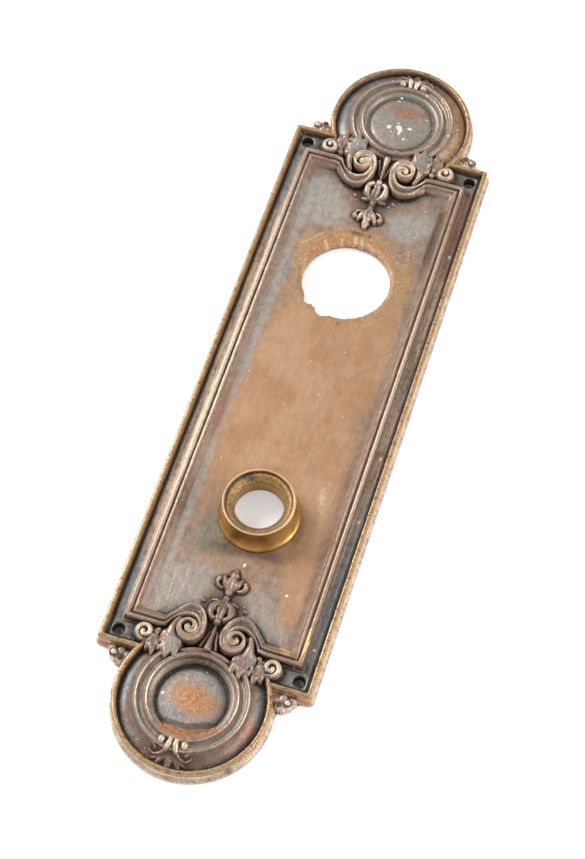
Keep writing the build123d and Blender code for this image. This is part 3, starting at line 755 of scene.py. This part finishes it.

# %% [markdown]
# ## Patches of the finish
# Beyond hollows and crests, the finish varies in large soft patches: copper where the field is
# worn, a pale haze near its ends and in the dishes, bare brass round the lock hole. They are
# painted as soft dabs, and thin strokes do for scratches and for the edges of stains. Dabs also
# paint highlights on some crests and a shadow beside the collar. Each patch and each part of the
# plate is a mask on the vertices, from 0 to 1, that a material can read.

# %% Dabs and strokes of finish
# Soft dabs: middle, half width, half length, strength
DABS = {
    "copper": [
        (0, -8, 24, 56, 1), (17, -44, 6, 34, 0.9), (19.5, -72, 4, 18, 0.9), (2, 18, 22, 24, 0.9),
        (20, 30, 4, 30, 0.6), (-18, -22, 7, 32, 0.5), (5.3, -73.5, 2, 4, 0.9), (-9, -66, 5, 4, 0.5),
        (-20, -76, 3, 5, 0.4), (12, -92, 4, 3, 0.3)],
    "haze": [
        (-18, 76, 9, 12, 1), (-11, 71, 7, 6, 0.6), (14, 73, 9, 7, 0.9), (20, 80, 4, 8, 0.5),
        (-22.6, 35, 2.6, 55, 0.7), (-16, -80, 10, 13, 0.8), (9, -79, 8, 9, 0.6), (17, -86, 8, 6, 0.6),
        (-22.8, -50, 2.6, 40, 0.6), (-6, -70, 7, 6, 0.3), (23.2, 20, 1.8, 44, 0.3),
        (0, -113.8, 12.4, 12.4, 1.2), (0, 113.8, 12.4, 12.4, 1.1), (13, -93, 2.5, 5, 1),
        (12, 99, 4, 5, 0.6), (-12, 99, 4, 5, 0.7), (-11, -99, 3.5, 5, 0.9), (0, -113.8, 18, 18, 0.35),
        (0, 113.8, 18, 18, 0.4), (0, 84, 2, 3, 0.6)],
    "brass": [
        (0.3, 46.4, 21, 21, 1.1), (-17, 56, 6, 9, 0.5), (18, 52, 5, 8, 0.5), (0, 65, 12, 4, 0.6),
        (0, -62, 12, 3, 0.4), (20.5, 113, 4.2, 15, 1.4), (16, 127, 6, 5, 1), (5, -126, 7, 3, 0.4)],
    # Painted highlights on crests, stronger down the left frame than the right
    "painted_highlight": [
        (21, 97.2, 3.2, 3.2, 1), (-21, 97.2, 3.2, 3.2, 1), (21, -97.2, 3.2, 3.2, 1),
        (-21, -97.2, 3.2, 3.2, 1), (0, 130.2, 5.5, 2.6, 1), (0, -130.2, 5.5, 2.6, 1), (0, 84, 4.5, 4, 0.9),
        (0, 72, 5, 4.5, 0.6), (7.3, 91, 5.6, 7, 0.9), (-7.3, 91, 5.6, 7, 0.9), (7.3, -91, 5.6, 7, 0.5),
        (-7.3, -91, 5.6, 7, 0.6), (-28.2, 10, 3.2, 90, 0.9), (28.2, 10, 1.2, 70, 0.6), (0, 96, 2, 3, 0.5),
        (16, 96, 2, 2, 0.5)],
    # Stains, and a painted shadow beside and below the collar
    "stain_and_shadow": [
        (-1.7, 65.9, 3.6, 1.1, 0.8), (2.9, 65.9, 0.5, 0.7, 1.4), (2.6, 29.2, 1.2, 1.2, 0.6),
        (9, 32.4, 1.6, 1, 0.5), (0, 79, 7, 6, 0.8), (0, -80, 8, 6, 0.75), (-8, 86, 6, 3.5, 0.7),
        (8, 86, 6, 3.5, 0.7), (-8, -86, 6, 3, 0.8), (8, -86, 6, 3, 0.8), (21, 84, 3.5, 5, 0.4),
        (-22, 87, 2.5, 4, 0.5), (0, -60.5, 13, 2.6, 0.7), (13.8, -50, 2, 8, 0.5), (-24, -101, 9, 5, 0.7),
        (26, 99, 8, 4, 0.5), (-26, 98, 8, 5, 0.6), (0, -100.5, 9, 2, 0.9), (0, 98, 8, 2, 0.6),
        (25.2, 0, 1.8, 95, 0.25), (24.5, 66, 2, 14, 0.5), (0, -133.5, 17, 4, 0.7), (-9, -63, 9, 3, 0.4),
        (0, 134, 18, 3.4, 0.5), (-22, 104, 3, 5, 0.4), (0, -103.2, 9, 1.4, 0.8), (17, -131, 2, 1.5, 0.8),
        (-15.5, -47, 3.5, 9, 0.35)],
    "green": [
        (-11, -60, 9, 7, 0.9), (-13, -52, 5, 7, 0.5), (9, -128, 4, 3, 0.8), (-9, 95, 4, 5, 0.9),
        (9, 96, 3, 4, 0.6), (14, 124, 5, 6, 0.5), (-31.5, -75, 1.6, 26, 0.7), (0, 113.8, 18.5, 18.5, 0.5),
        (15, -99, 4, 4, 0.6), (4, -88, 5, 4, 0.6), (-16, 100, 4, 4, 0.6), (-32.6, -30, 0.8, 70, 0.6),
        (0, 128, 8, 2.5, 0.6), (0, -113.8, 18.5, 18.5, 0.3)],
    "red": [
        (31.3, 76, 2.2, 24, 1.1), (20, -118, 3, 4, 0.7), (0, 119, 7, 3.4, 0.9), (8.5, 120, 3, 3, 0.5),
        (28.8, 80, 0.7, 16, 0.8), (0, -113.6, 8.5, 6.5, 0.5), (-24, -15, 1.8, 12, 0.7),
        (22, -40, 2, 30, 0.35), (10, 19, 4, 3, 0.4), (-22, 90, 3, 3, 0.5)],
    "orange": [
        (-2, -112.6, 6.5, 5, 0.8), (3.4, -114.6, 6, 5, 0.8), (0, 119, 6, 2.6, 0.3),
        (33, -103, 3, 1.5, 0.6), (-33.5, -104, 3, 2, 0.8), (-5, 58, 10, 5, 0.5), (0, 32, 12, 4, 0.4),
        (-33.8, 101, 2.5, 2.5, 0.5), (-30, 85, 3, 3, 0.3)],
    "blue": [
        (-20.6, 112, 2.8, 14, 1.3), (-13, 129, 8, 4, 0.8), (-31.2, 84, 1.8, 9, 0.8),
        (31.4, -62, 1.8, 38, 1), (-31.2, -84, 1.8, 12, 0.6), (-20.7, 45.5, 0.9, 7, 1.2),
        (-20.4, -112, 1.6, 13, 1), (20.6, -107, 1.7, 10, 1.1), (-14, -126, 3, 4, 0.6),
        (13, -91, 1.6, 4, 1), (12.5, 99, 3, 4, 0.5), (-12.5, 99, 3, 4, 0.5), (13, -99, 2, 3, 0.7),
        (-5, -119.5, 5, 1.2, 0.8), (-7, 95, 3, 5, 0.4), (31.4, 10, 1.6, 14, 0.5), (-22.9, 0, 1.2, 26, 0.4),
        (22, 89, 3, 2, 0.5)],
    "chip": [
        (21.8, -89.4, 1.5, 0.7, 1.6), (23.6, -89.8, 1.2, 0.6, 1.4), (27.9, -84, 0.6, 3.6, 1.5),
        (28.4, -86.8, 0.8, 1.6, 1.4), (26.6, -92.8, 1.3, 0.8, 1.7), (22.6, -91.2, 2.4, 0.5, 0.8)],
    "paint": [
        (-3.7, 111, 0.9, 0.7, 1.3), (-0.2, 111.7, 1.1, 1, 1.4), (0.5, 110.6, 0.8, 1.1, 1.3),
        (3.6, 112.2, 0.9, 0.6, 1.3), (0.4, 109.2, 0.5, 0.7, 1.2), (-0.8, 113.4, 0.5, 0.4, 1),
        (-2.4, 109.3, 0.4, 0.4, 0.8), (2.7, 107.4, 0.6, 0.6, 1), (-3.4, 123.2, 0.9, 0.5, 1),
        (-9.4, -114.2, 0.6, 0.5, 1.4), (8.2, 117.8, 0.5, 0.4, 1), (-3, 125, 0.6, 0.5, 1),
        (1.8, 101.9, 1, 0.5, 1), (6.3, -58.2, 0.9, 0.7, 1.2), (8.3, -57.2, 0.7, 0.4, 1),
        (-9.5, -88.5, 0.5, 0.4, 0.9), (16.8, 121, 0.7, 0.5, 1), (19.5, 118, 0.5, 0.6, 1),
        (17.5, 112.5, 0.6, 0.5, 1), (-15.6, 124.5, 0.6, 0.4, 0.9), (31.3, 66, 0.6, 0.6, 1),
        (30.8, -86.5, 0.6, 0.6, 1), (31.2, -40, 0.5, 0.5, 1), (31.2, -16, 0.6, 0.6, 1.1),
        (5.5, 127, 0.7, 0.4, 0.9), (-8, 130, 0.5, 0.4, 0.8), (1, -65.8, 0.7, 0.6, 1),
        (17, -71.5, 0.6, 0.6, 1.1)],
}
# Thin strokes: from, to, half width, strength
STROKES = {
    "pale": [
        (-18.5, 56.6, -12.9, 62.9, 0.35, 0.6), (-11.2, 59.6, -9.6, 57.4, 0.6, 0.8),
        (-6, 62, -5, 60, 0.5, 0.6), (-1.5, 64, -1, 61.8, 0.7, 0.8), (0.6, 64, 1.4, 61.9, 0.6, 0.7),
        (3.5, 62.6, 5.4, 61.2, 0.5, 0.6), (-15.5, 52, -15, 44, 0.45, 0.6),
        (7.6, 61.6, 9.8, 59.6, 0.4, 0.5), (-31.4, 4, -30.6, 16, 0.5, 0.8), (-32.2, 9, -30.2, 12, 0.4, 0.7),
        (17.4, -30, 18.4, -40, 1.3, 0.36), (16.6, -33, 17.2, -37, 1.1, 0.3),
        (-19.4, -72, -18.6, -84, 0.3, 0.5), (-15.5, -70, -15.2, -79, 0.3, 0.5),
        (9.5, 22, 3.5, 14, 0.3, 0.3), (-10, 8, -3, 2, 0.25, 0.3), (17.5, 64, 18.5, 57, 0.35, 0.5),
        (6, -14, 9, -2, 0.25, 0.3), (10.5, 30, 16.5, 36, 0.3, 0.4), (19.5, 106, 21, 116, 1.2, 0.4),
        (16.5, 122, 12, 127.5, 1.4, 0.4), (18.5, 119, 20.5, 112, 1.6, 0.35)],
    "stain_and_shadow": [
        (-6, -122.6, 1, -122.8, 1.1, 1.3), (1, -122.8, 7.6, -120, 1, 1.3),
        (-12.5, -53, -8, -58.5, 0.6, 0.5), (-8, -58.5, 2, -61.4, 0.6, 0.5), (24.2, 62, 24.2, 82, 1.2, 0.6)],
    "orange": [
        (-5, -125.4, 3, -125.6, 1.9, 1.5), (3, -125.4, 10.4, -121.6, 1.6, 1.5),
        (-16, 52, -12, 60, 1.2, 0.5), (-12, 60, -4, 64.5, 1.2, 0.5), (4, 64, 13, 58, 1.4, 0.5),
        (-9, -133.6, 9, -133.6, 1, 0.3)],
}

# %% Masks on the vertices
def dabbed(x, y, dabs):
    """The sum of soft dabs at plan points."""
    total = np.zeros(x.shape)
    for cx, cy, rx, ry, strength in dabs:
        reach = np.hypot((x - cx) / rx, (y - cy) / ry)
        total += strength * (1 - smooth_step(reach, 0.35, 1.35))
    return total


def stroked(x, y, strokes):
    """The sum of thin strokes at plan points."""
    total = np.zeros(x.shape)
    for ax, ay, bx, by, width, strength in strokes:
        reach = along_path(x, y, [(ax, ay), (bx, by)])[0] / width
        total += strength * (1 - smooth_step(reach, 0.5, 1.5))
    return total


def vertex_places(mesh):
    """Places of a mesh's vertices in millimetres, as three arrays."""
    co = np.empty(len(mesh.vertices) * 3)
    mesh.vertices.foreach_get("co", co)
    return co.reshape(-1, 3).T / MM


def write_masks(mesh, attributes):
    """Stores three masks in the red, green and blue of each colour attribute."""
    for name, masks in attributes.items():
        values = np.stack([*masks, np.ones_like(masks[0])], 1)
        attribute = mesh.attributes.new(name, "FLOAT_COLOR", "POINT")
        attribute.data.foreach_set("color", np.clip(values, 0, 1).ravel())


def paint_piece(piece):
    """Writes the masks of one casting piece: its relief, its parts and the patches on it."""
    x, y, z = vertex_places(piece.data)
    far = np.abs(y)
    edge = inside_distance(x, y)
    wide = read_map(mid_mean, x, y)
    tight = read_map(near_mean, x, y)
    # Hollows (dirt and painted shade), crests (wear and painted highlight) and broad painted shade,
    # from the height map; walls hidden under the map's surface get painted shade as well
    undercut_shade = smooth_step(read_map(height_map, x, y) - z, 0.35, 1.2)
    low = np.clip((1.25 * (tight - z) + 0.25 * (wide - z)) / 0.7, 0, 1)
    low = np.maximum(low, undercut_shade * (edge > 0.7))
    high = np.clip((z - 0.5 * wide - 0.5 * tight) / 0.5, 0, 1)
    broad = np.clip((read_map(far_mean, x, y) - z) / 1.5, 0, 1)
    # The long mouldings, the turned rings and the lock hole's edge get little dirt and painted shade
    sides = smooth_step(32.7 - np.abs(x), 0, 0.5) * smooth_step(np.abs(x), 19, 22)
    sides *= 1 - smooth_step(far, 90, 93)
    reach = np.hypot(x, far - DISC_Y)
    turned = smooth_step(reach, 11.2, 12.4) * (1 - smooth_step(reach - 1.1 * (y > 0), 20.8, 22))
    turned *= smooth_step(far, 102, 105)
    by_hole = 1 - smooth_step(np.hypot(x - HOLE_X, y - HOLE_Y), 16, 17)
    shade_and_dirt_kept = (1 - 0.85 * sides - 0.8 * turned) * (1 - by_hole)
    low, broad = low * shade_and_dirt_kept, broad * shade_and_dirt_kept
    # Outer wall with its groove, rim, border channel, and where the carving is busy
    wall = (1 - smooth_step(edge, 0.25, 0.75)) * (z < 4.75)
    # Painted shade: a dark line along the groove under the rim's bead
    low = np.where(wall > 0.5, wall * np.exp(-((z - 4.15) / 0.28) ** 2), low)
    high = np.where(wall > 0.5, smooth_step(1.6 - np.abs(z - 0.9), 0.6, 1.6) * 0.5, high)
    broad = np.where(wall > 0.5, 0, broad)
    rim = (1 - smooth_step(edge, 1.5, 1.8)) * (z > 4.75)
    at_side = smooth_step(edge, 1.9, 2.3) * smooth_step(np.abs(x), 29.2, 29.6)
    at_end = smooth_step(far, 94.2, 94.8) * smooth_step(np.abs(x), 16, 19)
    channel = np.maximum(at_side, at_end) * (far < 103) * (1 - smooth_step(z, 4.2, 5.2))
    busy = np.maximum(smooth_step(np.abs(x), 23, 25.5), smooth_step(far, 72, 92))
    patch = {name: dabbed(x, y, dabs) for name, dabs in DABS.items()}
    stroke = {name: stroked(x, y, strokes) for name, strokes in STROKES.items()}
    write_masks(piece.data, {
        "relief": (low, high, broad),
        "patches": (patch["copper"], patch["haze"], patch["brass"]),
        "marks": (patch["stain_and_shadow"] + stroke["stain_and_shadow"], patch["green"], rim),
        "places": (wall, channel, busy),
        "spots": (patch["red"], patch["orange"] + stroke["orange"], patch["chip"]),
        "tints": (patch["blue"], stroke["pale"], turned * (1 - smooth_step(reach, 18, 19.5))),
        "paint": (patch["paint"], smooth_step(far, 50, 85), patch["painted_highlight"]),
    })


for piece in casting_pieces:
    paint_piece(piece)
print("painted", len(casting_pieces), "pieces")

# %% [markdown]
# ## Materials
# Each finish is built from nodes in the object's own coordinates, so it stays put in any view.
# The bronze is a stack of coats: a brown ground, copper and haze patches, dirt and painted shade in
# the hollows, worn metal and painted highlights on the crests, and a scatter of pale specks. A coat
# is a mix by a mask, and the masks come from the vertices, roughened by noise so that no edge looks
# drawn.

# %% Material helpers
def colour(red, green, blue):
    """A colour given as it is seen, 0 to 255, turned into the shader's linear scale."""
    linear = [((v / 255 + 0.055) / 1.055) ** 2.4 if v > 10 else v / 255 / 12.92 for v in (red, green, blue)]
    return (*linear, 1.0)


class Finish:
    """A material with short calls for the nodes that it is built from."""

    def __init__(self, name):
        self.material = bpy.data.materials.new(name)
        self.material.use_nodes = True
        self.nodes = self.material.node_tree.nodes
        self.links = self.material.node_tree.links
        self.shader = self.nodes["Principled BSDF"]
        self.place = self.nodes.new("ShaderNodeTexCoord").outputs["Object"]
        self.tone = None

    def link(self, value, socket):
        if isinstance(value, bpy.types.NodeSocket):
            self.links.new(value, socket)
        else:
            socket.default_value = value

    def give(self, name, value):
        """Sets one input of the shader to a value or a node's output."""
        self.link(value, self.shader.inputs[name])

    def stretched(self, x, y, z):
        """The object's coordinates, scaled along each axis."""
        node = self.nodes.new("ShaderNodeMapping")
        self.link(self.place, node.inputs["Vector"])
        node.inputs["Scale"].default_value = (x, y, z)
        return node.outputs["Vector"]

    def noise(self, per_mm, detail=4.0, rough=0.6, warp=0.0, seed=0.0, place=None):
        node = self.nodes.new("ShaderNodeTexNoise")
        node.noise_dimensions = "4D"
        settings = {"Vector": place or self.place, "W": seed, "Scale": per_mm / MM, "Detail": detail,
                    "Roughness": rough, "Distortion": warp}
        for key, value in settings.items():
            self.link(value, node.inputs[key])
        return node.outputs["Fac"]

    def math(self, kind, a, b=0.0, c=0.0):
        node = self.nodes.new("ShaderNodeMath")
        node.operation = kind
        for socket, value in zip(node.inputs, (a, b, c)):
            self.link(value, socket)
        return node.outputs[0]

    def times(self, a, b):
        return self.math("MULTIPLY", a, b)

    def plus(self, a, b):
        return self.math("ADD", a, b)

    def scaled(self, value, factor, offset):
        """A value times a factor, plus an offset."""
        return self.math("MULTIPLY_ADD", value, factor, offset)

    def ramp(self, value, low, high, to_low=0.0, to_high=1.0):
        node = self.nodes.new("ShaderNodeMapRange")
        node.interpolation_type = "SMOOTHSTEP"
        settings = {"Value": value, "From Min": low, "From Max": high, "To Min": to_low, "To Max": to_high}
        for key, item in settings.items():
            self.link(item, node.inputs[key])
        return node.outputs["Result"]

    def mix(self, factor, a, b):
        node = self.nodes.new("ShaderNodeMix")
        node.data_type = "RGBA"
        for key, value in (("Factor", factor), ("A", a), ("B", b)):
            self.link(value, node.inputs[key])
        return node.outputs["Result"]

    def pick(self, by, one, other, low=0.35, high=0.65):
        """One of two colours, chosen by a noise."""
        return self.mix(self.ramp(by, low, high), colour(*one), colour(*other))

    def coat(self, mask, over):
        """Lays a colour over the coats so far, as far as the mask says."""
        self.tone = self.mix(mask, self.tone, over)

    def painted(self, name):
        """The three masks of one colour attribute."""
        node = self.nodes.new("ShaderNodeAttribute")
        node.attribute_name = name
        return self.split(node.outputs["Color"])

    def split(self, value):
        node = self.nodes.new("ShaderNodeSeparateColor")
        self.link(value, node.inputs["Color"])
        return node.outputs[0], node.outputs[1], node.outputs[2]

    def bump(self, height, strength, distance_mm):
        node = self.nodes.new("ShaderNodeBump")
        self.link(height, node.inputs["Height"])
        node.inputs["Strength"].default_value = strength
        node.inputs["Distance"].default_value = distance_mm * MM
        self.give("Normal", node.outputs["Normal"])


# %% Aged bronze: masks and noises
bronze = Finish("aged_bronze")
times, plus, scaled, ramp = bronze.times, bronze.plus, bronze.scaled, bronze.ramp
pick, coat = bronze.pick, bronze.coat
hollow, crest, shade = bronze.painted("relief")
copper, haze, brass = bronze.painted("patches")
stain_and_shadow, green, rim = bronze.painted("marks")
wall, channel, busy = bronze.painted("places")
red, orange, chip = bronze.painted("spots")
paint, far_end, painted_highlight = bronze.painted("paint")
blue, pale, turned = bronze.painted("tints")
broad_noise = bronze.noise(0.07, 5, 0.62, 0.4)
middle_noise = bronze.noise(0.32, 6, 0.68, 0.3, 3)
small_noise = bronze.noise(0.95, 5, 0.7, 0.2, 7)
fine_noise = bronze.noise(2.2, 4, 0.7, 0, 11)
other_noise = bronze.noise(0.5, 5, 0.7, 0.5, 19)
along = bronze.noise(1.3, 4, 0.65, 0, 23, bronze.stretched(1, 0.045, 1))
flecks = bronze.noise(1.1, 3, 0.6, 0, 29, bronze.stretched(0.5, 1.3, 1))
ragged = scaled(middle_noise, 0.6, times(small_noise, 0.4))


def varied(mask, by, amount=0.9, soft=0.28):
    """A soft mask given an uneven edge by a noise."""
    swing = scaled(by, amount, -amount / 2)
    return ramp(plus(mask, swing), 0.5 - soft, 0.5 + soft)


def patch(mask, amount, soft, strength, by, one, other):
    """Lays a ragged patch in two colours, chosen by a noise."""
    coat(times(varied(mask, ragged, amount, soft), strength), pick(by, one, other))


# %% Aged bronze: ground and patches
bronze.tone = pick(middle_noise, (140, 116, 98), (170, 142, 122))
patch(copper, 0.9, 0.5, 1, broad_noise, (178, 134, 98), (194, 154, 120))
patch(haze, 1.5, 0.5, 0.95, other_noise, (150, 147, 142), (188, 176, 166))
patch(brass, 1, 0.5, 0.9, small_noise, (170, 130, 90), (196, 158, 116))
patch(green, 1.4, 0.4, 0.6, small_noise, (98, 108, 96), (138, 138, 116))
channel_mid = pick(along, (148, 118, 92), (236, 212, 186), 0.32, 0.66)
channel_end = pick(middle_noise, (122, 118, 110), (190, 186, 170), 0.35, 0.68)
coat(times(channel, 0.92), bronze.mix(varied(far_end, ragged), channel_mid, channel_end))
coat(times(wall, 0.95), pick(middle_noise, (216, 190, 170), (248, 226, 206)))
film = times(times(turned, ramp(ragged, 0.38, 0.54)), 0.85)
coat(film, pick(other_noise, (142, 150, 140), (190, 178, 160)))
patch(blue, 1.3, 0.45, 0.85, small_noise, (106, 116, 124), (158, 168, 172))
patch(red, 1.4, 0.4, 0.7, small_noise, (142, 84, 66), (176, 116, 94))
# Small patches of other tints, strong on the carving and faint on the field
tint = scaled(busy, 0.5, 0.1)
coat(times(ramp(small_noise, 0.5, 0.64), tint), colour(100, 112, 110))
coat(times(ramp(other_noise, 0.5, 0.62), tint), colour(134, 90, 78))
coat(times(ramp(along, 0.5, 0.7), times(tint, 0.9)), colour(204, 176, 150))
# Stains, and the painted shadow by the collar
patch(stain_and_shadow, 1.3, 0.45, 0.75, small_noise, (58, 48, 42), (98, 80, 68))

# %% Aged bronze: grime and painted shade, wear and painted highlights, and grain
# Broad painted shade: darker where the surface lies below its wide surroundings, more at the ends
near_shade = plus(shade, scaled(small_noise, 0.6, -0.3))
broad_painted_shade = times(ramp(near_shade, 0.1, 0.9), scaled(far_end, 0.5, 0.25))
coat(broad_painted_shade, pick(other_noise, (72, 60, 52), (84, 86, 86)))
# Dirt and painted shade in the hollows, near black
grime_and_shade = ramp(plus(hollow, scaled(ragged, 0.7, -0.35)), 0.05, 0.75)
coat(times(grime_and_shade, 0.92), pick(other_noise, (36, 29, 25), (54, 54, 50)))
patch(orange, 1.2, 0.5, 0.88, small_noise, (178, 114, 66), (208, 154, 108))
# Wear and painted highlights on the crests, paler and stronger where the painted highlight mask is set
crest_dull = pick(small_noise, (152, 124, 108), (188, 160, 140))
crest_highlight = pick(small_noise, (220, 190, 164), (255, 236, 212))
rim_metal = pick(small_noise, (172, 132, 86), (204, 168, 122))
rim_colour = bronze.mix(ramp(flecks, 0.5, 0.68), rim_metal, colour(112, 84, 56))
wear_and_highlight = ramp(plus(crest, scaled(small_noise, 1.1, -0.55)), 0.12, 0.85)
wear_and_highlight_colour = bronze.mix(rim, bronze.mix(painted_highlight, crest_dull, crest_highlight), rim_colour)
coat(times(wear_and_highlight, scaled(painted_highlight, 0.42, 0.56)), wear_and_highlight_colour)
coat(times(rim, 0.85), rim_colour)
coat(times(varied(pale, small_noise, 2, 0.4), 0.7), colour(224, 200, 168))
coat(varied(chip, ragged, 1, 0.15), colour(226, 190, 126))
rough_grain = scaled(busy, 0.35, 0.16)
coat(times(ramp(fine_noise, 0.52, 0.7), rough_grain), colour(44, 36, 32))
coat(times(ramp(fine_noise, 0.48, 0.3), times(rough_grain, 0.8)), colour(214, 196, 178))
# Specks: the rarest cells of a cell noise, and the spots of paint
cells = bronze.nodes.new("ShaderNodeTexVoronoi")
bronze.link(bronze.place, cells.inputs["Vector"])
cells.inputs["Scale"].default_value = 0.6 / MM
rare = bronze.math("GREATER_THAN", bronze.split(cells.outputs["Color"])[0], 0.94)
speck = times(ramp(cells.outputs["Distance"], 0.07, 0.19, 1, 0), rare)
coat(bronze.math("MAXIMUM", speck, varied(paint, small_noise, 0.8, 0.1)), colour(232, 236, 226))
bronze.give("Base Color", bronze.tone)
bronze.give("Metallic", 0.45)
gloss = plus(scaled(middle_noise, 0.3, 0.3), times(grime_and_shade, 0.1))
bronze.give("Roughness", bronze.math("SUBTRACT", gloss, times(wear_and_highlight, 0.1)))
bronze.bump(plus(times(fine_noise, 0.5), times(small_noise, 0.8)), 0.5, 0.14)
for piece in casting_pieces:
    piece.data.materials.append(bronze.material)
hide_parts("backplate")
print("aged bronze is built of", len(bronze.nodes), "nodes")

# %% Yellow brass: masks
x, y, z = vertex_places(knob_collar.data)
reach = np.hypot(x, y - COLLAR_Y)
lip = smooth_step(z, 12.5, 12.8) * smooth_step(reach, 11.1, 11.3)
funnel = (reach < 10.95) * smooth_step(z, 9.5, 10)
bore = (reach < 8.4) * (1 - smooth_step(z, 8.5, 10))
# Painted shade: a dark line just inside the lip; the foot is darker where it meets the field
collar_shade = np.exp(-((reach - 10.75) / 0.3) ** 2) * (z > 11)
foot = (reach > 11.9) * (1 - smooth_step(z, 3.6, 4.6))
soiled = dabbed(x, y, [(-6.5, -38.8, 4.5, 2.2, 0.8), (3, -57, 6, 1.5, 0.5), (7, -38, 3, 2, 0.5)])
write_masks(knob_collar.data, {"turned": (lip, funnel, bore),
                               "shade_and_soil": (np.maximum(collar_shade, foot * 0.8), soiled * (reach < 11.2), foot)})
print("collar masks on", len(reach), "vertices")

# %% Yellow brass: coats
yellow = Finish("yellow_brass")
# The short names build the brass from here on
times, plus, pick, coat = yellow.times, yellow.plus, yellow.pick, yellow.coat
lip, funnel, bore = yellow.painted("turned")
collar_shade, soiled, foot = yellow.painted("shade_and_soil")
cloud = yellow.noise(0.12, 4, 0.6, 0.3)
scuff = yellow.noise(1.2, 4, 0.7)
yellow.tone = pick(cloud, (164, 116, 52), (206, 160, 92), 0.38, 0.62)
coat(times(funnel, 0.8), pick(scuff, (186, 152, 108), (138, 110, 74), 0.4, 0.62))
coat(times(bore, 0.7), colour(130, 92, 46))
coat(yellow.ramp(scuff, 0.55, 0.8, 0, 0.5), colour(122, 86, 44))
# Painted shade inside the lip, and the darker foot
coat(times(collar_shade, 0.75), colour(74, 56, 36))
spoil = yellow.ramp(plus(soiled, yellow.scaled(scuff, 1.6, -0.8)), 0.3, 0.9)
coat(times(spoil, 0.7), colour(66, 68, 62))
coat(lip, pick(scuff, (236, 206, 168), (196, 158, 112), 0.5, 0.75))
yellow.give("Base Color", yellow.tone)
yellow.give("Metallic", 0.65)
yellow.give("Roughness", plus(yellow.ramp(cloud, 0.3, 0.7, 0.28, 0.42), times(funnel, 0.2)))
yellow.bump(scuff, 0.3, 0.08)
knob_collar.data.materials.append(yellow.material)

# %% [markdown]
# ## Floor and light
# The plate lies on a white table under a big soft light from the upper left, with a weaker one
# across from it. The table is white to the camera and in the metal's reflections, but still takes
# the plate's shadow, and painted shade darkens it inside the small screw holes.

# %% Stage
table = bmesh.new()
bmesh.ops.create_grid(table, x_segments=1, y_segments=1, size=3.0)
bmesh.ops.translate(table, vec=(0, 0, -0.0002), verts=table.verts[:])
table_mesh = bpy.data.meshes.new("table")
table.to_mesh(table_mesh)
table.free()
table_top = bpy.data.objects.new("table", table_mesh)
bpy.context.collection.objects.link(table_top)
white = Finish("white_table")
# Painted shade: the table's colour and glow drop where ambient occlusion finds the plate close by
open_sky = white.nodes.new("ShaderNodeAmbientOcclusion")
open_sky.inputs["Distance"].default_value = 0.004
clear = white.ramp(open_sky.outputs["AO"], 0.27, 0.5)
white.give("Base Color", white.mix(clear, colour(60, 56, 50), (0.86, 0.86, 0.86, 1)))
white.give("Roughness", 0.7)
white.give("Emission Color", (1, 1, 1, 1))
rays = white.nodes.new("ShaderNodeLightPath").outputs
seen = white.math("MAXIMUM", rays["Is Camera Ray"], rays["Is Glossy Ray"])
seen = white.math("MAXIMUM", seen, rays["Is Transmission Ray"])
white.give("Emission Strength", white.times(white.times(seen, 0.42), clear))
table_top.data.materials.append(white.material)

world = bpy.data.worlds.new("studio")
world.use_nodes = True
background = world.node_tree.nodes["Background"]
background.inputs["Color"].default_value = (1, 1, 1, 1)
background.inputs["Strength"].default_value = 0.56
bpy.context.scene.world = world


def soft_light(name, place, size, power):
    """A square soft light at a place in metres, aimed at the plate."""
    data = bpy.data.lights.new(name, "AREA")
    data.size = size
    data.energy = power
    lamp = bpy.data.objects.new(name, data)
    lamp.location = place
    lamp.rotation_euler = Vector(place).to_track_quat("Z", "Y").to_euler()
    bpy.context.collection.objects.link(lamp)


soft_light("left_light", (-1.1, 0.35, 1.0), 0.7, 18)
soft_light("right_light", (1.2, 0.0, 0.7), 0.6, 9)

# %% [markdown]
# ## Finish
# The colours are shown as they are written, under the standard view transform.

# %% Finish
bpy.context.scene.view_settings.view_transform = "Standard"
